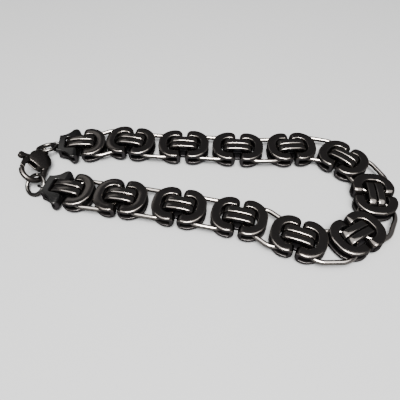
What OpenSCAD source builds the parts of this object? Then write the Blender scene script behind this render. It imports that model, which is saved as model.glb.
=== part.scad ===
// Flat byzantine chain bracelet with a lobster clasp, lying on its side in a closed loop.
// Each knot is two folded links round two standing core rings. Flat oval rail links join the knots.
// The loop lies on the plane z = 0 and its long direction is X.

/* [Folded links] */
// Width of the chain across a knot
knot_w = 11; // [10.9:0.1:11.6]
// Width of the flat band that a folded link is made of
band_w = 2.4; // [2:0.1:2.4]
// Thickness of the band
band_t = 0.95; // [0.8:0.05:0.95]
// Height of a folded link from the lower face to the upper face
fold_h = 3.5; // [3.5:0.1:4.1]
// Outer radius of the fold beside the slit
fold_r = 1.3; // [1.2:0.05:1.6]
// Outer radius of the shoulders between the closed end and the fold
shoulder_r = 4.9; // [4.3:0.1:5]
// Bevel along the rims of the band
band_bevel = 0.22; // [0.1:0.02:0.3]
// Usual gap between two neighbouring knots
knot_gap = 1.2; // [1.1:0.1:1.8]
// Usual slit between the two folded links of a knot
slit_w = 1.1; // [0.7:0.1:1.3]

/* [Core rings] */
// Width of one core ring across the chain
ring_w = 1.9; // [1.5:0.05:1.95]
// Thickness of a core ring
ring_t = 0.95; // [0.7:0.05:1]
// Gap between the two core rings of a knot
ring_gap = 0.3; // [0.15:0.05:0.4]
// How far a core ring stands proud of the folded links, above and below
ring_proud = 0.75; // [0.5:0.05:0.9]
// Play of a core ring along the chain
ring_play = 0.3; // [0.15:0.05:0.35]
// Outer radius of the corners of a core ring
ring_corner_r = 1.5; // [1.3:0.05:1.7]

/* [Rail links] */
// Length of a rail link over all
rail_len = 13.8; // [13.6:0.1:14.2]
// Width of a rail link over all
rail_w = 10; // [9.6:0.1:10.1]
// Diameter of the rail wire
rail_wire = 1.25; // [1:0.05:1.3]
// Gap inside a knot between the ends of two rail links pulled tight
rail_gap = 1.9; // [1.7:0.1:2.1]

/* [End covers] */
// Length of an end cover from the slit to its outer edge
cover_len = 5.8; // [5.7:0.1:6.2]
// Width of the outer edge of an end cover
cover_edge_w = 6.2; // [6:0.1:7]
// Width of an end cover across its tips
cover_w = 11.4; // [11:0.1:11.6]
// Radius of the round tips beside the slit
cover_tip_r = 1.3; // [1.1:0.05:1.5]
// Radius of the hollow flank between the edge and the tips
cover_flank_r = 4; // [3:0.5:6]
// Gap between the rim of the cover's mouth and the core rings
mouth_gap = 0.2; // [0.15:0.05:0.35]
// Radius of the corners of the mouth
mouth_corner_r = 0.6; // [0.5:0.1:1]
// Wire of the lug on the outer edge
lug_wire = 0.75; // [0.6:0.05:0.8]
// Hole of the lug
lug_hole = 1.65; // [1.6:0.05:1.8]

/* [Jump rings] */
// Outer diameter of a jump ring
jump_d = 6.7; // [6.5:0.1:6.9]
// Wire of a jump ring
jump_wire = 1.05; // [0.9:0.05:1.1]

/* [Clasp] */
// Wire of the hook
hook_wire = 1.5; // [1.3:0.05:1.6]
// Radius of the hook along the middle of its wire
hook_r = 2.9; // [2.8:0.05:3]
// Radius of the round body
body_r = 3.1; // [3.05:0.05:3.4]
// Thickness of the body in its middle
body_t = 3.2; // [3:0.1:3.4]
// Radius of the domes that form the two faces of the body
body_dome_r = 9; // [8:0.5:12]
// Distance from the body's centre to the eye's centre
eye_reach = 3.95; // [3.9:0.05:4.2]
// Hole of the eye
eye_hole = 1.9; // [1.65:0.05:1.9]
// Wire round the hole of the eye
eye_wall = 0.85; // [0.7:0.05:1]
// Thickness of the lever
lever_t = 1.2; // [1:0.05:1.3]
// Width of the gate, the long part of the lever
gate_w = 1.15; // [1:0.05:1.3]
// Gap between the swinging gate's end and the hook's tip
gate_gap = 0.2; // [0.15:0.05:0.4]
// Radius of the lever's hub
lever_hub = 1.15; // [1.05:0.05:1.3]
// Radius of the thumb knob
knob_r = 0.9; // [0.8:0.05:1.1]
// Width of the arm between the knob and the hub
knob_arm_w = 1.2; // [1:0.05:1.4]
// Diameter of the pivot pin
pin_d = 1; // [0.8:0.05:1.1]

/* [Hidden] */
// Running clearance between parts that pass through each other
clearance = 0.15;
// Smoothness of round forms
$fn = 48;
// A length rounded up to a hundredth, so that pieces joined end to end meet exactly
function hundredths(x) = ceil(100 * x) / 100;
// Height of the chain's middle plane above the surface it lies on
mid_z = fold_h / 2 + ring_proud;
// Distance between two knots pulled tight
pitch = rail_len + rail_gap;
// Length of one folded link along the chain
link_len = (pitch - knot_gap - slit_w) / 2;
// Half of the pair of core rings across the chain
pair_half = ring_w + ring_gap / 2;
// Inner radius of the round end of a rail link
rail_in_r = rail_w / 2 - rail_wire;
// How far the round end of a rail link falls back at the side of the core rings
rail_sag = rail_in_r - sqrt(rail_in_r * rail_in_r - pair_half * pair_half);
// Half of the length of a core ring
ring_half = hundredths(rail_gap / 2 + rail_wire + rail_sag + clearance + ring_play + ring_t);
// Half of the height of a core ring
ring_high = fold_h / 2 + ring_proud;
// Distance from a rail link's middle to the centre of its round end
rail_arm = rail_len / 2 - rail_w / 2;
// Distance from a knot's middle to the centre of a rail link's round end
knot_arm = pitch / 2 - rail_arm;
// Radius of a jump ring along the middle of its wire
jump_r = (jump_d - jump_wire) / 2;
// Radius of the lug along the middle of its wire
lug_r = (lug_hole + lug_wire) / 2;

// The chain's route: place of each knot, its heading in degrees, and its slit
KX = 0;
KY = 1;
KHEAD = 2;
KSLIT = 3;
ROUTE = [
    [-35.2, -8.37, -4, 0.9],
    [-20.5, -9.07, -2, 0.7],
    [-4.8, -9.97, -4, 0.8],
    [10.8, -11.37, -6, 1],
    [25.6, -15.57, -13.8, 0.6],
    [39.8, -12.67, 38.7, 0.5],
    [45.6, 0.53, 92.2, 0.5],
    [38.5, 13.03, 145.6, 0.5],
    [24, 15.63, 191.3, 0.6],
    [8.5, 13.53, 183.7, 1.3],
    [-7.2, 12.43, 185, 1.3],
    [-22.9, 11.83, 179, 0.8],
    [-37.2, 9.03, 192, 0.9]
];
knot_count = len(ROUTE);

// How far the lug's centre stands off the outer edge
lug_seat = lug_hole / 2 + 0.2;

// The clasp's own frame has +y towards the eye: places of the hook, the body and the pivot in it
hook_x = -0.9;
hook_y = -2;
body_y = 2.6;
pivot_x = -1.9;
pivot_y = 2.7;
// Angle that the hook's tip stops short of half a turn
tip_short = 8;
// Slope of the lower edge of the body, in degrees
body_slope = 20;
// How far the thumb knob stands off the pivot
knob_reach = 3;
knob_rise = -0.6;
// How far the ends of the pin lie below the faces of the body
pin_inset = 0.3;
// How far the lever's room widens towards the gate
room_flare = 1.6;

// Place and pose of the clasp and of the jump rings on the bracelet
clasp_at = [-46.26, -1.89, 3.23];
clasp_turn = 9.3;
clasp_tilt = 39.5;
clasp_pitch = -1.3;
lower_ring_at = [-45.1, -7.03, 2.07];
lower_ring_turn = -121.4;
lower_ring_tilt = 32.7;
upper_ring_at = [-47.09, 7.23, 2.08];
upper_ring_turn = 115.5;
upper_ring_tilt = 24.3;
// How far each lug leans about the chain's direction, so that it faces its jump ring
lower_lug_lean = 31.5;
upper_lug_lean = 23;

// Cross-section of a flat band with the two rims of its outer face bevelled, across along x
module band_section(w, t) {
    b = band_bevel;
    polygon([[0, 0], [w, 0], [w, t - b], [w - b, t], [b, t], [0, t - b]]);
}

// A straight piece of band, running along z with its outer face towards +x and its middle at y = 0
module straight_band(w, t, len) {
    translate([0, -w / 2, -len / 2])
        linear_extrude(len)
            mirror([1, -1])
                band_section(w, t);
}

// A quarter turn of band about z, from +x to +y, with its outer face at r_out and its middle at z = 0
module turned_band(w, t, r_out) {
    rotate_extrude(angle = 90)
        translate([r_out - t, -w / 2])
            mirror([1, -1])
                band_section(w, t);
}

// The upper layer of a folded link, with its closed end at -x, and the upper half of its fold
module folded_layer(len, slit) {
    half_w = knot_w / 2;
    fold_x = slit + fold_r;
    shoulder_x = slit + len - shoulder_r;
    end_half = half_w - shoulder_r;
    stub = shoulder_x - fold_x;
    under = fold_h / 2 - band_t;
    for (side = [0, 1])
        mirror([0, side, 0]) {
            translate([-shoulder_x, end_half, under])
                rotate([0, 0, 90])
                    rotate_extrude(angle = 90)
                        translate([shoulder_r - band_w, 0])
                            band_section(band_w, band_t);
            translate([-shoulder_x, half_w - band_w, under])
                rotate([90, 0, 90])
                    linear_extrude(stub)
                        band_section(band_w, band_t);
            translate([-fold_x, half_w - band_w / 2, fold_h / 2 - fold_r])
                rotate([90, 0, 0])
                    turned_band(band_w, band_t, fold_r);
        }
    translate([-slit - len, end_half, under])
        rotate([90, 0, 0])
            linear_extrude(2 * end_half)
                band_section(band_w, band_t);
}

// A folded link with its closed end at -x and its fold the given distance from the knot's middle
module folded_link(len, slit) {
    for (side = [0, 1])
        mirror([0, 0, side])
            folded_layer(len, slit);
    for (side = [-1, 1])
        translate([-slit - band_t, side * (knot_w - band_w) / 2, 0])
            straight_band(band_w, band_t, fold_h - 2 * fold_r);
}

// A core ring standing on edge along x
module core_ring() {
    r = ring_corner_r;
    rotate([90, 0, 0]) {
        for (mx = [0, 1], my = [0, 1])
            mirror([mx, 0, 0])
                mirror([0, my, 0])
                    translate([ring_half - r, ring_high - r, 0])
                        turned_band(ring_w, ring_t, r);
        for (side = [0, 1])
            rotate([0, 0, 180 * side]) {
                translate([ring_half - ring_t, 0, 0])
                    rotate([90, 0, 0])
                        straight_band(ring_w, ring_t, 2 * (ring_high - r));
                translate([0, ring_high - ring_t, 0])
                    rotate([0, 0, 90])
                        rotate([90, 0, 0])
                            straight_band(ring_w, ring_t, 2 * (ring_half - r));
            }
    }
}

module core_pair() {
    for (side = [-1, 1])
        translate([0, side * (ring_w + ring_gap) / 2, 0])
            core_ring();
}

module knot(i) {
    row = ROUTE[i];
    color("dimgray")
        translate([row[KX], row[KY], mid_z])
            rotate([0, 0, row[KHEAD]]) {
                core_pair();
                if (i > 0)
                    folded_link(link_len, row[KSLIT] / 2);
                if (i < knot_count - 1)
                    mirror([1, 0, 0])
                        folded_link(link_len, row[KSLIT] / 2);
            }
}

// Place of the centre of a rail link's round end beside knot i, ahead of it or behind it
function arm_point(i, side) = [
    ROUTE[i][KX] + side * knot_arm * cos(ROUTE[i][KHEAD]),
    ROUTE[i][KY] + side * knot_arm * sin(ROUTE[i][KHEAD])
];

module rail(i) {
    from = arm_point(i, 1);
    to = arm_point(i + 1, -1);
    middle = (from + to) / 2;
    heading = atan2(to[1] - from[1], to[0] - from[0]);
    wire_r = rail_w / 2 - rail_wire / 2;
    color("gray")
        translate([middle[0], middle[1], mid_z])
            rotate([0, 0, heading]) {
                for (side = [0, 1])
                    rotate([0, 0, 180 * side]) {
                        translate([rail_arm, 0, 0])
                            rotate([0, 0, -90])
                                rotate_extrude(angle = 180)
                                    translate([wire_r, 0])
                                        circle(d = rail_wire);
                        translate([-rail_arm, wire_r, 0])
                            rotate([0, 90, 0])
                                cylinder(d = rail_wire, h = 2 * rail_arm);
                    }
            }
}

// Side profile of a fold beside the slit at x = 0, for a piece that reaches to -x
module fold_profile(len) {
    translate([-len, -fold_h / 2])
        square([len - fold_r, fold_h]);
    translate([-fold_r, -fold_h / 2 + fold_r])
        square([fold_r, fold_h - 2 * fold_r]);
    for (side = [-1, 1])
        translate([-fold_r, side * (fold_h / 2 - fold_r)])
            circle(r = fold_r);
}

// Plan of an end cover with its slit side at x = 0: a straight outer edge, hollow flanks, round tips
module cover_plan() {
    edge = [-cover_len, cover_edge_w / 2];
    tip = [0.05 - cover_tip_r, cover_w / 2 - cover_tip_r];
    reach = norm(tip - edge);
    ahead = (tip - edge) / reach;
    span = cover_flank_r + cover_tip_r - 0.005;
    along = (cover_flank_r * cover_flank_r - span * span + reach * reach) / (2 * reach);
    out = sqrt(cover_flank_r * cover_flank_r - along * along);
    hollow = edge + along * ahead + out * [-ahead[1], ahead[0]];
    difference() {
        polygon([
            [0.5, -tip[1]], [0.5, tip[1]], tip, hollow, edge,
            [edge[0], -edge[1]], [hollow[0], -hollow[1]], [tip[0], -tip[1]]
        ]);
        for (side = [0, 1])
            mirror([0, side])
                translate(hollow)
                    circle(r = cover_flank_r, $fn = 96);
    }
    for (side = [0, 1])
        mirror([0, side])
            translate(tip)
                circle(r = cover_tip_r);
}

// Plan of a cover's mouth, round both core rings and open to the slit, with the knot's middle at x = 0
module mouth_plan() {
    end = ring_half + mouth_gap;
    half = pair_half + mouth_gap;
    translate([-end, mouth_corner_r - half])
        square([end + 1, 2 * (half - mouth_corner_r)]);
    translate([mouth_corner_r - end, -half])
        square([end - mouth_corner_r + 1, 2 * half]);
    for (side = [-1, 1])
        translate([mouth_corner_r - end, side * (half - mouth_corner_r)])
            circle(r = mouth_corner_r);
}

// Lug on the outer edge of an end cover: a small standing eye that a jump ring goes through
module lug() {
    rotate([90, 0, 0])
        rotate_extrude()
            translate([lug_r, 0])
                circle(d = lug_wire, $fn = 24);
}

// Folded cover at an end of the chain, with its slit side the given distance from the knot's middle.
// The hidden pin goes through both core rings, where the other folded links have a rail link.
module end_cover(slit, lug_lean) {
    pin_x = rail_gap / 2 + rail_wire / 2;
    color("dimgray") {
        translate([-slit, 0, 0])
            difference() {
                intersection() {
                    translate([0, 0, -fold_h / 2])
                        linear_extrude(fold_h)
                            cover_plan();
                    translate([0, knot_w / 2 + 1, 0])
                        rotate([90, 0, 0])
                            linear_extrude(knot_w + 2)
                                fold_profile(cover_len + 1);
                }
                translate([slit, 0, -fold_h])
                    linear_extrude(2 * fold_h)
                        mouth_plan();
                translate([-cover_len + band_t, -knot_w, -fold_h / 2 + band_t])
                    cube([cover_len - 2 * band_t, 2 * knot_w, fold_h - 2 * band_t]);
            }
        translate([-pin_x, knot_w / 2 - band_w / 2, 0])
            rotate([90, 0, 0])
                cylinder(d = rail_wire, h = knot_w - band_w);
        translate([-slit - cover_len - lug_seat, 0, 0])
            rotate([lug_lean, 0, 0])
                lug();
    }
}

module end_cover_a() {
    row = ROUTE[0];
    translate([row[KX], row[KY], mid_z])
        rotate([0, 0, row[KHEAD]])
            end_cover(row[KSLIT] / 2, lower_lug_lean);
}

module end_cover_b() {
    row = ROUTE[knot_count - 1];
    translate([row[KX], row[KY], mid_z])
        rotate([0, 0, row[KHEAD]])
            mirror([1, 0, 0])
                end_cover(row[KSLIT] / 2, upper_lug_lean);
}

// A round jump ring, tilted about y and then turned about z
module jump_ring(place, turn, tilt) {
    color("gray")
        translate(place)
            rotate([0, 0, turn])
                rotate([0, tilt, 0])
                    rotate_extrude()
                        translate([jump_r, 0])
                            circle(d = jump_wire, $fn = 24);
}

// Puts a part of the clasp in its place on the bracelet
module in_clasp_pose() {
    translate(clasp_at)
        rotate([0, 0, clasp_turn])
            rotate([0, clasp_tilt, 0])
                rotate([clasp_pitch, 0, 0])
                    children();
}

// The room in the body that the lever swings in
module lever_room() {
    translate([0, 0, -lever_t / 2 - clearance])
        linear_extrude(lever_t + 2 * clearance)
            polygon([
                [pivot_x - body_r, pivot_y + lever_hub + clearance],
                [pivot_x + lever_hub + clearance, pivot_y + lever_hub + clearance],
                [pivot_x + lever_hub + clearance, pivot_y - lever_hub],
                [pivot_x + lever_hub + room_flare, -body_r],
                [pivot_x - body_r, -body_r]
            ]);
}

// Cast body of the clasp: domed body, eye, arm and hook
module clasp_body() {
    tip_angle = 180 - tip_short;
    slope = tan(body_slope);
    color("dimgray")
        in_clasp_pose() {
            difference() {
                intersection() {
                    translate([0, body_y, -body_t / 2])
                        cylinder(r = body_r, h = body_t);
                    translate([0, body_y, body_t / 2 - body_dome_r])
                        sphere(r = body_dome_r, $fn = 96);
                    translate([0, body_y, body_dome_r - body_t / 2])
                        sphere(r = body_dome_r, $fn = 96);
                }
                translate([0, 0, -body_t])
                    linear_extrude(2 * body_t)
                        polygon([
                            [-2 * body_r, slope * 2 * body_r], [hook_x + hook_r - hook_wire / 2, -slope * (hook_x + hook_r)],
                            [hook_x + hook_r - hook_wire / 2, -2 * body_r], [-2 * body_r, -2 * body_r]
                        ]);
                lever_room();
            }
            translate([pivot_x, pivot_y, -body_t / 2 + pin_inset])
                cylinder(d = pin_d, h = body_t - 2 * pin_inset);
            translate([hook_x + hook_r, hook_y - 0.2, 0])
                rotate([-90, 0, 0])
                    cylinder(d1 = hook_wire + 0.1, d2 = hook_wire + 0.5, h = body_y - hook_y);
            translate([hook_x, hook_y, 0])
                rotate([0, 0, -tip_angle])
                    rotate_extrude(angle = tip_angle)
                        translate([hook_r, 0])
                            circle(d = hook_wire);
            translate([0, body_y + eye_reach, 0])
                rotate_extrude()
                    translate([(eye_hole + eye_wall) / 2, 0])
                        circle(d = eye_wall, $fn = 24);
        }
}

// Sprung lever: hub on the pin, thumb knob and gate, with its end just above the hook's tip
module clasp_lever() {
    gate_x = hook_x - hook_r;
    hook_in_r = hook_r - hook_wire / 2;
    tip_in = [hook_x - hook_in_r * cos(tip_short), hook_y - hook_in_r * sin(tip_short)];
    swing_r = norm(tip_in - [pivot_x, pivot_y]) - gate_gap;
    outer_x = gate_x - gate_w / 2 - pivot_x;
    inner_x = gate_x + gate_w / 2 - pivot_x;
    color("gray")
        in_clasp_pose()
            translate([0, 0, -lever_t / 2])
                linear_extrude(lever_t)
                    difference() {
                        union() {
                            translate([pivot_x, pivot_y])
                                circle(r = lever_hub);
                            translate([pivot_x - knob_reach, pivot_y + knob_rise])
                                circle(r = knob_r);
                            translate([pivot_x, pivot_y])
                                rotate(180 - atan2(knob_rise, knob_reach))
                                    translate([0, -knob_arm_w / 2])
                                        square([knob_reach, knob_arm_w]);
                            polygon([
                                [pivot_x - 0.7, pivot_y + 0.4], [pivot_x + outer_x, pivot_y / 4],
                                [pivot_x + outer_x, pivot_y - sqrt(swing_r * swing_r - outer_x * outer_x)],
                                [pivot_x + inner_x, pivot_y - sqrt(swing_r * swing_r - inner_x * inner_x)],
                                [pivot_x + inner_x, 0], [pivot_x + 0.5, pivot_y - 0.7]
                            ]);
                        }
                        translate([pivot_x, pivot_y])
                            circle(d = pin_d + 2 * clearance);
                    }
}

knot(0);  // knot_01
knot(1);  // knot_02
knot(2);  // knot_03
knot(3);  // knot_04
knot(4);  // knot_05
knot(5);  // knot_06
knot(6);  // knot_07
knot(7);  // knot_08
knot(8);  // knot_09
knot(9);  // knot_10
knot(10);  // knot_11
knot(11);  // knot_12
knot(12);  // knot_13
rail(0);  // rail_01
rail(1);  // rail_02
rail(2);  // rail_03
rail(3);  // rail_04
rail(4);  // rail_05
rail(5);  // rail_06
rail(6);  // rail_07
rail(7);  // rail_08
rail(8);  // rail_09
rail(9);  // rail_10
rail(10);  // rail_11
rail(11);  // rail_12
end_cover_a();
end_cover_b();
jump_ring(lower_ring_at, lower_ring_turn, lower_ring_tilt);  // jump_ring_a
jump_ring(upper_ring_at, upper_ring_turn, upper_ring_tilt);  // jump_ring_b
clasp_body();
clasp_lever();
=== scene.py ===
import math

import bmesh
import bpy
from mathutils import Matrix, Vector


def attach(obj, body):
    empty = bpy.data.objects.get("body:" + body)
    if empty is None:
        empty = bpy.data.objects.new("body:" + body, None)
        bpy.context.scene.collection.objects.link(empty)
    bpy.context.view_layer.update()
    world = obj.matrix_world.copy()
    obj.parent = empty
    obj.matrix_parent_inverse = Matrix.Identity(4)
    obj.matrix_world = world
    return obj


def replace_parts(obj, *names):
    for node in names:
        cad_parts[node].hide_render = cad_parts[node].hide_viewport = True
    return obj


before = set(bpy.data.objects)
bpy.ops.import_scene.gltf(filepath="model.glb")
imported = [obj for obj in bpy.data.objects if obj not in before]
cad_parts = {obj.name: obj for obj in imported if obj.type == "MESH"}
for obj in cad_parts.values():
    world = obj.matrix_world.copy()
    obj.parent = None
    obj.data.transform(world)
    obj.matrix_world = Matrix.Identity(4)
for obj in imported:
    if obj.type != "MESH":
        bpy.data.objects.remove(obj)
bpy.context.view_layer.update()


# Folded links. Each is a stamped oval ring of flat stainless band with rounded rims, folded in half
# round the core rings of its knot into a two-layer C, with its closed end towards the rail link. Two
# of them face each other across a narrow slit. They are polished and then blackened in a vacuum.
MM = 0.001
MID_Z = 2.5  # the chain's middle plane, above the floor
ROUTE = [  # each knot's middle, the way the chain runs there in degrees, and the width of its slit
    (-35.2, -8.37, -4, 0.9), (-20.5, -9.07, -2, 0.7), (-4.8, -9.97, -4, 0.8),
    (10.8, -11.37, -6, 1.0), (25.6, -15.57, -13.8, 0.6), (39.8, -12.67, 38.7, 0.5),
    (45.6, 0.53, 92.2, 0.5), (38.5, 13.03, 145.6, 0.5), (24.0, 15.63, 191.3, 0.6),
    (8.5, 13.53, 183.7, 1.3), (-7.2, 12.43, 185, 1.3), (-22.9, 11.83, 179, 0.8),
    (-37.2, 9.03, 192, 0.9),
]
KNOT_W, BAND_W, BAND_T = 11.0, 2.4, 0.95
FOLD_H, FOLD_R, SHOULDER_R, LINK_LEN = 3.5, 1.3, 4.9, 6.7
SHOULDER_STEPS, FOLD_STEPS = 16, 10
BAND_RIMS = (0.36, 0.2, 0.09)  # radii of the outer rim, of the inner rim and of the underside
BAND_CROWN = 0.05
DRAWN_IN_OVER, DRAWN_IN = 3.2, 0.11  # the arms' last stretch, and the share it is bent inward


class Wire:
    """A node's output, for use in sums."""

    def __init__(self, finish, socket):
        self.finish = finish
        self.socket = socket

    def math(self, operation, first, second):
        made = self.finish.add("ShaderNodeMath", {"operation": operation}, {0: first, 1: second})
        return made["Value"]

    def __add__(self, other):
        return self.math("ADD", self, other)

    __radd__ = __add__

    def __sub__(self, other):
        return self.math("SUBTRACT", self, other)

    def __rsub__(self, other):
        return self.math("SUBTRACT", other, self)

    def __mul__(self, other):
        return self.math("MULTIPLY", self, other)

    __rmul__ = __mul__


class Node:
    """A node whose outputs are reached by name or number."""

    def __init__(self, finish, node):
        self.finish = finish
        self.node = node

    def __getitem__(self, output):
        return Wire(self.finish, self.node.outputs[output])


class Finish:
    """A material that is built node by node."""

    MIX_SHARE, MIX_FIRST, MIX_SECOND, MIX_RESULT = 0, 6, 7, 2  # a Mix node's sockets for colours

    def __init__(self, name):
        self.material = bpy.data.materials.new(name)
        self.material.use_nodes = True
        self.tree = self.material.node_tree
        self.tree.nodes.clear()

    def add(self, kind, settings=None, sockets=None):
        """One node: its settings first, then the values or links of its sockets."""
        node = self.tree.nodes.new(kind)
        for name, value in (settings or {}).items():
            setattr(node, name, value)
        for socket, value in (sockets or {}).items():
            if isinstance(value, Wire):
                self.tree.links.new(value.socket, node.inputs[socket])
            else:
                node.inputs[socket].default_value = value
        return Node(self, node)

    def rising(self, value, low, high):
        """0 below low, 1 above high, and a smooth rise between."""
        sockets = {"Value": value, "From Min": low, "From Max": high}
        return self.add("ShaderNodeMapRange", {"interpolation_type": "SMOOTHSTEP"}, sockets)["Result"]

    def patches(self, place, scale, detail, roughness=0.5):
        """Soft uneven patches from 0 to 1, so many to the metre."""
        sockets = {"Vector": place, "Scale": scale, "Detail": detail, "Roughness": roughness}
        return self.add("ShaderNodeTexNoise", None, sockets)["Fac"]

    def hairlines(self, place, turn, scale):
        """Long thin marks: patches stretched along one direction."""
        sockets = {"Vector": place, "Rotation": turn, "Scale": scale}
        stretched = self.add("ShaderNodeMapping", None, sockets)["Vector"]
        return self.patches(stretched, scale=1.0, detail=1.0)

    def blended(self, share, first, second, manner="MIX"):
        """The first colour with a share of the second laid over it."""
        settings = {"data_type": "RGBA", "blend_type": manner}
        sockets = {self.MIX_SHARE: share, self.MIX_FIRST: first, self.MIX_SECOND: second}
        return self.add("ShaderNodeMix", settings, sockets)[self.MIX_RESULT]


CLOUDS_PER_M, HAZE_PER_M = 420.0, 1700.0  # broad and fine patches of duller polish
CLOUDS_DULL, HAZE_DULLS, PAINTED_SHADE_ZONE_DULLS = 0.1, 0.06, 0.26  # what each adds to the roughness
HAZE_TINT, HAZE_TINTS = (0.62, 0.6, 0.6, 1.0), 0.5  # what the haze darkens to, and how much of it
LINES_TURN, LINES_PER_M = (0.0, 0.0, 0.5), (700.0, 16000.0, 9000.0)
SCUFFS_TURN, SCUFFS_PER_M = (0.2, 0.1, -0.7), (900.0, 14000.0, 9000.0)
LINES_CUT, SCUFFS_CUT, HAZE_CUTS = 0.5, 0.35, 0.3  # their shares in the bump
HAIRLINE_DEPTH = 0.01 * MM
RIM_WEARS, CLOUDS_WEAR = 0.75, 0.5  # their shares in the wear, which shows from one sum to another
WEAR_FROM, WEAR_TO = 0.45, 1.15
PAINTED_SHADE_SLOPE_FROM, PAINTED_SHADE_SLOPE_TO = 0.05, 0.75  # how far a surface faces up, from full painted shade to none
PAINTED_SHADE_FADE = 0.0009  # the height over which the painted shade fades out
UPPER_FACE, EVERYWHERE = 0.0014, -0.002  # heights below which every face gets the painted shade


def black_steel(name, coat, worn, painted_shade, edge, painted_shade_below, roughness, hairline):
    """Black steel mirrors the room darkly. Handling has left faint hairlines, and the rims, where the
    coat is thinnest, have worn a little lighter. Sides, undersides and low faces get a painted shade."""
    steel = Finish(name)
    where = steel.add("ShaderNodeTexCoord")
    place = where["Object"]
    upward = steel.add("ShaderNodeSeparateXYZ", None, {"Vector": where["Normal"]})["Z"]
    height = steel.add("ShaderNodeSeparateXYZ", None, {"Vector": place})["Z"]
    # Painted shade: a mask that is 0 on faces turned from the top and on every face below a set
    # height
    facing_up = steel.rising(upward, PAINTED_SHADE_SLOPE_FROM, PAINTED_SHADE_SLOPE_TO)
    above_shade_height = steel.rising(height, painted_shade_below, painted_shade_below + PAINTED_SHADE_FADE)
    outside_painted_shade = facing_up * above_shade_height

    clouds = steel.patches(place, CLOUDS_PER_M, detail=3.0, roughness=0.55)
    haze = steel.patches(place, HAZE_PER_M, detail=2.0, roughness=0.6)
    rim = steel.add("ShaderNodeAttribute", {"attribute_name": "rim"})["Fac"]
    wear = steel.rising(rim * RIM_WEARS + clouds * CLOUDS_WEAR, WEAR_FROM, WEAR_TO)
    colour = steel.blended(wear, (*coat, 1.0), (*worn, 1.0))
    dulled = steel.blended(haze * HAZE_TINTS, colour, HAZE_TINT, "MULTIPLY")
    # Painted shade: the darker colour is laid where that mask is 0, on sides, undersides and low
    # faces
    shade = steel.blended(outside_painted_shade, (*painted_shade, 1.0), dulled)

    lines = steel.hairlines(place, LINES_TURN, LINES_PER_M)
    scuffs = steel.hairlines(place, SCUFFS_TURN, SCUFFS_PER_M)
    grooves = lines * LINES_CUT + scuffs * SCUFFS_CUT + haze * HAZE_CUTS
    relief = {"Height": grooves, "Strength": hairline, "Distance": HAIRLINE_DEPTH}
    bump = steel.add("ShaderNodeBump", None, relief)["Normal"]
    mean_dullness = (CLOUDS_DULL + HAZE_DULLS) / 2
    dullness = clouds * CLOUDS_DULL + haze * HAZE_DULLS + (1 - outside_painted_shade) * PAINTED_SHADE_ZONE_DULLS
    shader = steel.add("ShaderNodeBsdfPrincipled", None, {
        "Base Color": shade, "Metallic": 1.0, "Specular Tint": (edge, edge, edge, 1.0),
        "Roughness": dullness + (roughness - mean_dullness), "Normal": bump,
    })
    steel.add("ShaderNodeOutputMaterial", None, {"Surface": shader["BSDF"]})
    return steel.material


# Its darkest colour is painted shade for the sides, undersides and the lower layer.
plate_steel = black_steel(
    "black_steel_plate", coat=(0.069, 0.062, 0.057), worn=(0.165, 0.148, 0.133),
    painted_shade=(0.03, 0.028, 0.029), edge=0.3, painted_shade_below=UPPER_FACE, roughness=0.14, hairline=0.25,
)


def put_in_scene(name, data):
    thing = bpy.data.objects.new(name, data)
    bpy.context.scene.collection.objects.link(thing)
    return thing


def laid(place, turn, tilt=0.0, roll=0.0):
    """From a piece's own millimetres to where it lies, rolled about x, tilted about y and then
    turned about z."""
    return (
        Matrix.Translation(place)
        @ Matrix.Rotation(math.radians(turn), 4, "Z")
        @ Matrix.Rotation(math.radians(tilt), 4, "Y")
        @ Matrix.Rotation(math.radians(roll), 4, "X")
        @ Matrix.Scale(MM, 4)
    )


def on_route(x, y, heading):
    return laid((x * MM, y * MM, MID_Z * MM), heading)


def swept(name, stations, section, rims, material, closed=True):
    """A band or wire with one section of points (across, out), carried along stations of a point,
    the direction of its width and the direction of its outside."""
    solid = bmesh.new()
    wear = solid.verts.layers.float.new("rim")
    rings = []
    for point, wide, out in stations:
        ring = []
        for (across, up), rim in zip(section, rims):
            vert = solid.verts.new(Vector(point) + Vector(wide) * across + Vector(out) * up)
            vert[wear] = rim
            ring.append(vert)
        rings.append(ring)
    count = len(section)
    for i in range(len(rings) if closed else len(rings) - 1):
        here, there = rings[i], rings[(i + 1) % len(rings)]
        for k in range(count):
            after = (k + 1) % count
            solid.faces.new((here[k], here[after], there[after], there[k]))
    if not closed:
        solid.faces.new(rings[0])
        solid.faces.new(rings[-1][::-1])
    bmesh.ops.recalc_face_normals(solid, faces=solid.faces)
    mesh = bpy.data.meshes.new(name)
    solid.to_mesh(mesh)
    solid.free()
    for face in mesh.polygons:
        face.use_smooth = True
    mesh.materials.append(material)
    return put_in_scene(name, mesh)


FLAT, RIM_START, RIM = 0.0, 0.35, 1.0  # how worn a section's points are


def rounded_section(width, thickness, radii, crown, steps):
    """A band's section with rounded corners and a crowned outside, and how worn each point is."""
    outer, inner, under = radii
    points, rims = [], []
    corners = ((1, 1, outer), (-1, 1, inner), (-1, -1, under), (1, -1, under))
    for number, (sx, sy, radius) in enumerate(corners):
        x, y = sx * (width / 2 - radius), sy * (thickness / 2 - radius)
        for step in range(steps + 1):
            angle = math.radians(90 * number + 90 * step / steps)
            points.append((x + radius * math.cos(angle), y + radius * math.sin(angle)))
            rims.append(RIM if 0 < step < steps else RIM_START)
        if number in (0, 2):
            for share in (0.25, 0.5, 0.75):
                lift = crown * (1 - (2 * share - 1) ** 2) if sy > 0 else 0.0
                points.append((x * (1 - 2 * share), sy * thickness / 2 + lift))
                rims.append(FLAT)
    return points, rims


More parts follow.
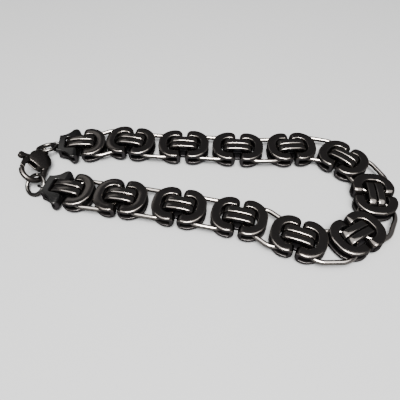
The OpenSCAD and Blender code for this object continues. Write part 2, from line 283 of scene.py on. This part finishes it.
def folded_quarter(slit):
    """Stations of the upper layer's half at +y, from the middle of the closed end to the fold."""
    middle = BAND_W / 2
    flat_z = (FOLD_H - BAND_T) / 2
    end_half = KNOT_W / 2 - SHOULDER_R
    shoulder_x = slit + LINK_LEN - SHOULDER_R
    fold_x = slit + FOLD_R
    stations = []
    for share in (0.0, 0.5):
        point = (-slit - LINK_LEN + middle, end_half * share, flat_z)
        stations.append((point, (-1, 0, 0), (0, 0, 1)))
    for step in range(SHOULDER_STEPS + 1):
        angle = math.radians(180 - 90 * step / SHOULDER_STEPS)
        wide = (math.cos(angle), math.sin(angle), 0)
        reach = SHOULDER_R - middle
        point = (-shoulder_x + reach * wide[0], end_half + reach * wide[1], flat_z)
        stations.append((point, wide, (0, 0, 1)))
    for step in range(FOLD_STEPS + 1):
        angle = math.radians(90 * step / FOLD_STEPS)
        out = (math.sin(angle), 0, math.cos(angle))
        reach = FOLD_R - BAND_T / 2
        point = (-fold_x + reach * out[0], KNOT_W / 2 - middle, FOLD_H / 2 - FOLD_R + reach * out[2])
        stations.append((point, (0, 1, 0), out))
    return stations


def flipped(vector, signs):
    """A vector mirrored along the axes whose sign is -1."""
    return tuple(value * sign for value, sign in zip(vector, signs))


def folded_link(name, row, ahead):
    x, y, heading, slit = row
    quarter = folded_quarter(slit / 2)
    loop = [quarter[0]]
    for sy, sz in ((1, 1), (1, -1), (-1, -1), (-1, 1)):
        run = [
            (flipped(point, (1, sy, sz)), flipped(wide, (1, sy, 1)), flipped(out, (1, 1, sz)))
            for point, wide, out in quarter[1:]
        ]
        loop += run if sy == sz else run[::-1]
    section, rims = rounded_section(BAND_W, BAND_T, BAND_RIMS, BAND_CROWN, steps=4)
    piece = swept(name, loop, section, rims, plate_steel)
    for vert in piece.data.vertices:
        nearness = max(0.0, 1 + vert.co.x / DRAWN_IN_OVER)
        vert.co.y *= 1 - DRAWN_IN * nearness ** 2
    place = on_route(x, y, heading)
    if ahead:
        place = place @ Matrix.Scale(-1, 4, (1, 0, 0))
        piece.data.flip_normals()
    piece.data.transform(place)
    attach(piece, "chain")
    return piece


for number, row in enumerate(ROUTE, 1):
    node = "knot_%02d" % number
    if number > 1:
        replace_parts(folded_link("folded_link_%02d_a" % number, row, False), node)
    if number < len(ROUTE):
        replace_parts(folded_link("folded_link_%02d_b" % number, row, True), node)


# Core rings. Two heavy closed rings stand on edge side by side in every knot and carry the rail
# links. Their band is crowned on the outside, and each ring's top and bottom are slightly bowed.
RING_W, RING_T, RING_GAP, RING_CORNER_R = 1.9, 0.95, 0.3, 1.5
RING_HALF, RING_HIGH = 4.21, 2.5
RING_CORNER_STEPS = 12
RING_RIMS = (0.32, 0.32, 0.12)  # radii of the two rims and of the inside
RING_CROWN, RING_BOW = 0.04, 0.22

# Its darkest colour is painted shade for the sides, undersides and low faces.
core_steel = black_steel(
    "black_steel_core_ring", coat=(0.079, 0.072, 0.066), worn=(0.16, 0.144, 0.13),
    painted_shade=(0.03, 0.028, 0.029), edge=0.3, painted_shade_below=UPPER_FACE, roughness=0.13, hairline=0.26,
)


def core_ring(name, row, side):
    half, high = RING_HALF - RING_CORNER_R, RING_HIGH - RING_CORNER_R
    reach = RING_CORNER_R - RING_T / 2
    stations = []
    for turn, sx, sz in ((0, 1, 1), (90, -1, 1), (180, -1, -1), (270, 1, -1)):
        for step in range(RING_CORNER_STEPS + 1):
            angle = math.radians(turn + 90 * step / RING_CORNER_STEPS)
            out = (math.cos(angle), 0, math.sin(angle))
            point = (sx * half + reach * out[0], 0, sz * high + reach * out[2])
            stations.append((point, (0, 1, 0), out))
        if turn in (0, 180):
            for share in (0.2, 0.4, 0.6, 0.8):
                point = (sx * half * (1 - 2 * share), 0, sz * (RING_HIGH - RING_T / 2))
                stations.append((point, (0, 1, 0), (0, 0, sz)))
    section, rims = rounded_section(RING_W, RING_T, RING_RIMS, RING_CROWN, steps=5)
    piece = swept(name, stations, section, rims, core_steel)
    for vert in piece.data.vertices:
        vert.co.z *= 1 - RING_BOW * (vert.co.x / RING_HALF) ** 2
        vert.co.y += side * (RING_W + RING_GAP) / 2
    piece.data.transform(on_route(*row[:3]))
    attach(piece, "chain")
    return piece


for number, row in enumerate(ROUTE, 1):
    for side, letter in ((1, "a"), (-1, "b")):
        piece = core_ring("core_ring_%02d_%s" % (number, letter), row, side)
        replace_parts(piece, "knot_%02d" % number)


# Rail links. Flat closed ovals of round wire, welded shut, that join each knot to the next. Only
# their straight sides show, one at each side of the gap between two knots.
RAIL_LEN, RAIL_W, RAIL_WIRE, RAIL_GAP = 13.8, 10.0, 1.25, 1.9
RAIL_ARM = RAIL_LEN / 2 - RAIL_W / 2
KNOT_ARM = (RAIL_LEN + RAIL_GAP) / 2 - RAIL_ARM
RAIL_END_STEPS, WIRE_SIDES = 32, 18

# Its darkest colour is painted shade for the wire's sides and underside.
wire_steel = black_steel(
    "black_steel_wire", coat=(0.27, 0.245, 0.222), worn=(0.35, 0.318, 0.29),
    painted_shade=(0.03, 0.028, 0.027), edge=0.5, painted_shade_below=EVERYWHERE, roughness=0.13, hairline=0.2,
)


def round_section(diameter):
    radius = diameter / 2
    turns = [2 * math.pi * k / WIRE_SIDES for k in range(WIRE_SIDES)]
    return [(radius * math.cos(turn), radius * math.sin(turn)) for turn in turns], [FLAT] * WIRE_SIDES


def round_end(row, side):
    """The middle of a rail link's round end, inside the knot at this side of it."""
    x, y, degrees = row[:3]
    heading = math.radians(degrees)
    return x + side * KNOT_ARM * math.cos(heading), y + side * KNOT_ARM * math.sin(heading)


for number in range(1, len(ROUTE)):
    (x1, y1), (x2, y2) = round_end(ROUTE[number - 1], 1), round_end(ROUTE[number], -1)
    heading = math.degrees(math.atan2(y2 - y1, x2 - x1))
    reach = (RAIL_W - RAIL_WIRE) / 2
    stations = []
    for half in (1, -1):
        for step in range(RAIL_END_STEPS + 1):
            angle = math.radians(-90 + 180 * step / RAIL_END_STEPS)
            out = (half * math.cos(angle), half * math.sin(angle), 0)
            stations.append(((half * RAIL_ARM + reach * out[0], reach * out[1], 0), (0, 0, 1), out))
    section, rims = round_section(RAIL_WIRE)
    piece = swept("rail_link_%02d" % number, stations, section, rims, wire_steel)
    piece.data.transform(on_route((x1 + x2) / 2, (y1 + y2) / 2, heading))
    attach(piece, "chain")
    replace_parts(piece, "rail_%02d" % number)


# End covers. At each end of the chain the outer folded link is a leaf-shaped cover with a straight
# outer edge and hollow flanks, bent from sheet and polished after folding, so that its two faces are
# slightly crowned, with a small lug that the jump ring goes through.
COVER_VOXEL, COVER_ROUNDS, COVER_CROWN = 0.09, 5, 0.5
WELD, POLISH = 0.002, 0.5

# Its darkest colour is painted shade for the sides, undersides and low faces.
cover_steel = black_steel(
    "black_steel_cover", coat=(0.047, 0.046, 0.044), worn=(0.108, 0.105, 0.1),
    painted_shade=(0.03, 0.028, 0.029), edge=0.3, painted_shade_below=UPPER_FACE, roughness=0.2, hairline=0.25,
)


def softened(name, node, place, voxel, rounds, material, crown=0.0):
    """A tumbled copy of a node: remeshed in its own straight frame, so that flat faces stay flat,
    smoothed for some rounds, and crowned by lowering its faces towards the sides."""
    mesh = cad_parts[node].data.copy()
    mesh.name = name
    mesh.materials.clear()
    mesh.transform(place.inverted())
    joined = bmesh.new()
    joined.from_mesh(mesh)
    bmesh.ops.remove_doubles(joined, verts=joined.verts, dist=WELD)
    joined.to_mesh(mesh)
    joined.free()
    piece = put_in_scene(name, mesh)
    remesh = piece.modifiers.new("tumbled", "REMESH")
    remesh.mode = "VOXEL"
    remesh.voxel_size = voxel
    remesh.use_smooth_shade = True
    smooth = piece.modifiers.new("polished", "SMOOTH")
    smooth.factor = POLISH
    smooth.iterations = rounds
    tumbled = piece.evaluated_get(bpy.context.evaluated_depsgraph_get())
    shown = bpy.data.meshes.new_from_object(tumbled)
    piece.modifiers.clear()
    piece.data = shown
    for vert in shown.vertices:
        vert.co.z *= 1 - crown * (vert.co.y / KNOT_W) ** 2
    shown.transform(place)
    shown.materials.append(material)
    for face in shown.polygons:
        face.use_smooth = True
    return piece


for node, row in (("end_cover_a", ROUTE[0]), ("end_cover_b", ROUTE[-1])):
    place = on_route(*row[:3])
    piece = softened(node + "_bent", node, place, COVER_VOXEL, COVER_ROUNDS, cover_steel, COVER_CROWN)
    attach(piece, "chain")
    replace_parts(piece, node)


# Jump rings. Round rings of drawn wire, bent open to take the lug and the clasp and closed again, so
# that a hairline cut is left between their sawn ends.
JUMP_D, JUMP_WIRE, JUMP_STEPS = 6.7, 1.05, 96
SAW_CUT = 1  # degrees of the ring

# Its darkest colour is painted shade for the wire's sides and underside.
ring_steel = black_steel(
    "black_steel_jump_ring", coat=(0.09, 0.084, 0.077), worn=(0.18, 0.168, 0.154),
    painted_shade=(0.028, 0.026, 0.025), edge=0.4, painted_shade_below=EVERYWHERE, roughness=0.16, hairline=0.2,
)

for name, node, place, turn, tilt, cut_at in (
    ("jump_ring_lower", "jump_ring_a", (-45.1, -7.03, 2.07), -121.4, 32.7, 200),
    ("jump_ring_upper", "jump_ring_b", (-47.09, 7.23, 2.08), 115.5, 24.3, 100),
):
    reach = (JUMP_D - JUMP_WIRE) / 2
    stations = []
    for step in range(JUMP_STEPS + 1):
        angle = math.radians(cut_at + SAW_CUT / 2 + (360 - SAW_CUT) * step / JUMP_STEPS)
        out = (math.cos(angle), math.sin(angle), 0)
        stations.append(((reach * out[0], reach * out[1], 0), (0, 0, 1), out))
    section, rims = round_section(JUMP_WIRE)
    piece = swept(name, stations, section, rims, ring_steel, closed=False)
    piece.data.transform(laid(Vector(place) * MM, turn, tilt))
    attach(piece, "chain")
    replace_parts(piece, node)


# Lobster clasp. The body is cast in one with its eye and hook and tumbled until its corners are soft.
# The lever is a stamped piece that turns on a riveted pin, pushed shut by a small spring in the body.
CLASP_PLACE = laid(Vector((-46.26, -1.89, 3.23)) * MM, turn=9.3, tilt=39.5, roll=-1.3)
BODY_VOXEL, BODY_ROUNDS = 0.08, 9
LEVER_VOXEL, LEVER_ROUNDS = 0.05, 7

# Its darkest colour is painted shade for the sides and undersides.
cast_steel = black_steel(
    "black_steel_clasp", coat=(0.056, 0.05, 0.046), worn=(0.125, 0.112, 0.103),
    painted_shade=(0.02, 0.018, 0.017), edge=0.4, painted_shade_below=EVERYWHERE, roughness=0.27, hairline=0.4,
)

for name, node, body, voxel, rounds in (
    ("clasp_cast_body", "clasp_body", "chain", BODY_VOXEL, BODY_ROUNDS),
    ("clasp_thumb_lever", "clasp_lever", "lever", LEVER_VOXEL, LEVER_ROUNDS),
):
    piece = softened(name, node, CLASP_PLACE, voxel, rounds, cast_steel)
    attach(piece, body)
    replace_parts(piece, node)


# The setting. A plain pale floor, a soft light like a window high in front, a wider one nearly
# overhead, a faint card behind at the left, and a camera at the photograph's height and distance.
FLOOR_HALF, FLOOR_COLOUR = 3.0, (0.2, 0.2, 0.198, 1.0)
FLOOR_ROUGHNESS, FLOOR_SHEEN = 0.6, 0.2
GRAIN_SCALE, GRAIN_ROUGHENS = 60.0, 0.1
SKY_COLOUR, SKY_STRENGTH = (0.9, 0.93, 1.0, 1.0), 0.34

floor_finish = Finish("pale_floor")
grain = floor_finish.add("ShaderNodeTexNoise", None, {"Scale": GRAIN_SCALE, "Detail": 2.0})["Fac"]
paper = floor_finish.add("ShaderNodeBsdfPrincipled", None, {
    "Base Color": FLOOR_COLOUR, "Roughness": grain * GRAIN_ROUGHENS + FLOOR_ROUGHNESS,
    "Specular IOR Level": FLOOR_SHEEN,
})
floor_finish.add("ShaderNodeOutputMaterial", None, {"Surface": paper["BSDF"]})
floor_corners = [(x * FLOOR_HALF, y * FLOOR_HALF, 0) for x, y in ((-1, -1), (1, -1), (1, 1), (-1, 1))]
floor_mesh = bpy.data.meshes.new("floor")
floor_mesh.from_pydata(floor_corners, [], [(0, 1, 2, 3)])
floor_mesh.materials.append(floor_finish.material)
put_in_scene("floor", floor_mesh)

world = bpy.data.worlds.new("studio")
bpy.context.scene.world = world
world.use_nodes = True
sky = world.node_tree.nodes["Background"]
sky.inputs["Color"].default_value = SKY_COLOUR
sky.inputs["Strength"].default_value = SKY_STRENGTH


def facing(thing, place, aim):
    thing.location = place
    thing.rotation_euler = (Vector(aim) - thing.location).to_track_quat("-Z", "Y").to_euler()


def soft_light(name, place, aim, size, watts):
    lamp = bpy.data.lights.new(name, "AREA")
    lamp.shape = "RECTANGLE"
    lamp.size, lamp.size_y = size
    lamp.energy = watts
    facing(put_in_scene(name, lamp), place, aim)


soft_light("window", place=(0.02, -0.17, 0.4), aim=(0, 0, 0), size=(0.22, 0.19), watts=11.0)
soft_light("soft_top", place=(0.0, -0.1, 0.42), aim=(0, 0, 0), size=(0.6, 0.5), watts=7.0)
soft_light("back_card", place=(-0.3, 0.34, 0.42), aim=(-0.03, 0, 0), size=(0.2, 0.12), watts=0.1)

camera = bpy.data.cameras.new("photograph")
camera.sensor_width = 36.0
camera.lens = 36.3
camera.clip_start = 0.005
camera_object = put_in_scene("photograph", camera)
facing(camera_object, place=(0.00907, -0.07222, 0.0857), aim=(0.0002, -0.00667, 0.0025))
bpy.context.scene.camera = camera_object
